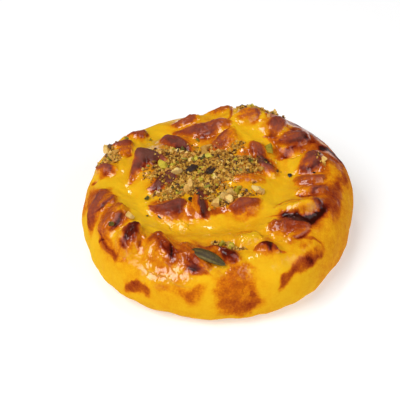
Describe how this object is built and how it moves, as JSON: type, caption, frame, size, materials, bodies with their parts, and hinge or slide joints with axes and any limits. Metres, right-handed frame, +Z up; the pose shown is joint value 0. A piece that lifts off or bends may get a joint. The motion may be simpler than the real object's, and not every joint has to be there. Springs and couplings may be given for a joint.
{
  "type": "maamoul cookie",
  "caption": "Round glazed dough cookie, its top pinched into a rim of ridges and a rosette, strewn with chopped pistachio and nut crumbs.",
  "frame": {"origin": "middle of the bounding box, on the plane the cookie rests on", "axes": "+Z up through the cookie's thickness; the side the camera saw faces -Y"},
  "size_m": [0.076, 0.0738, 0.0247],
  "materials": {
    "glazed_dough": "egg-washed yolk-yellow dough, browned on its ridges, glossy; chopped nuts lie on it"
  },
  "bodies": {
    "root": {"cookie": "glazed_dough"}
  },
  "joints": []
}
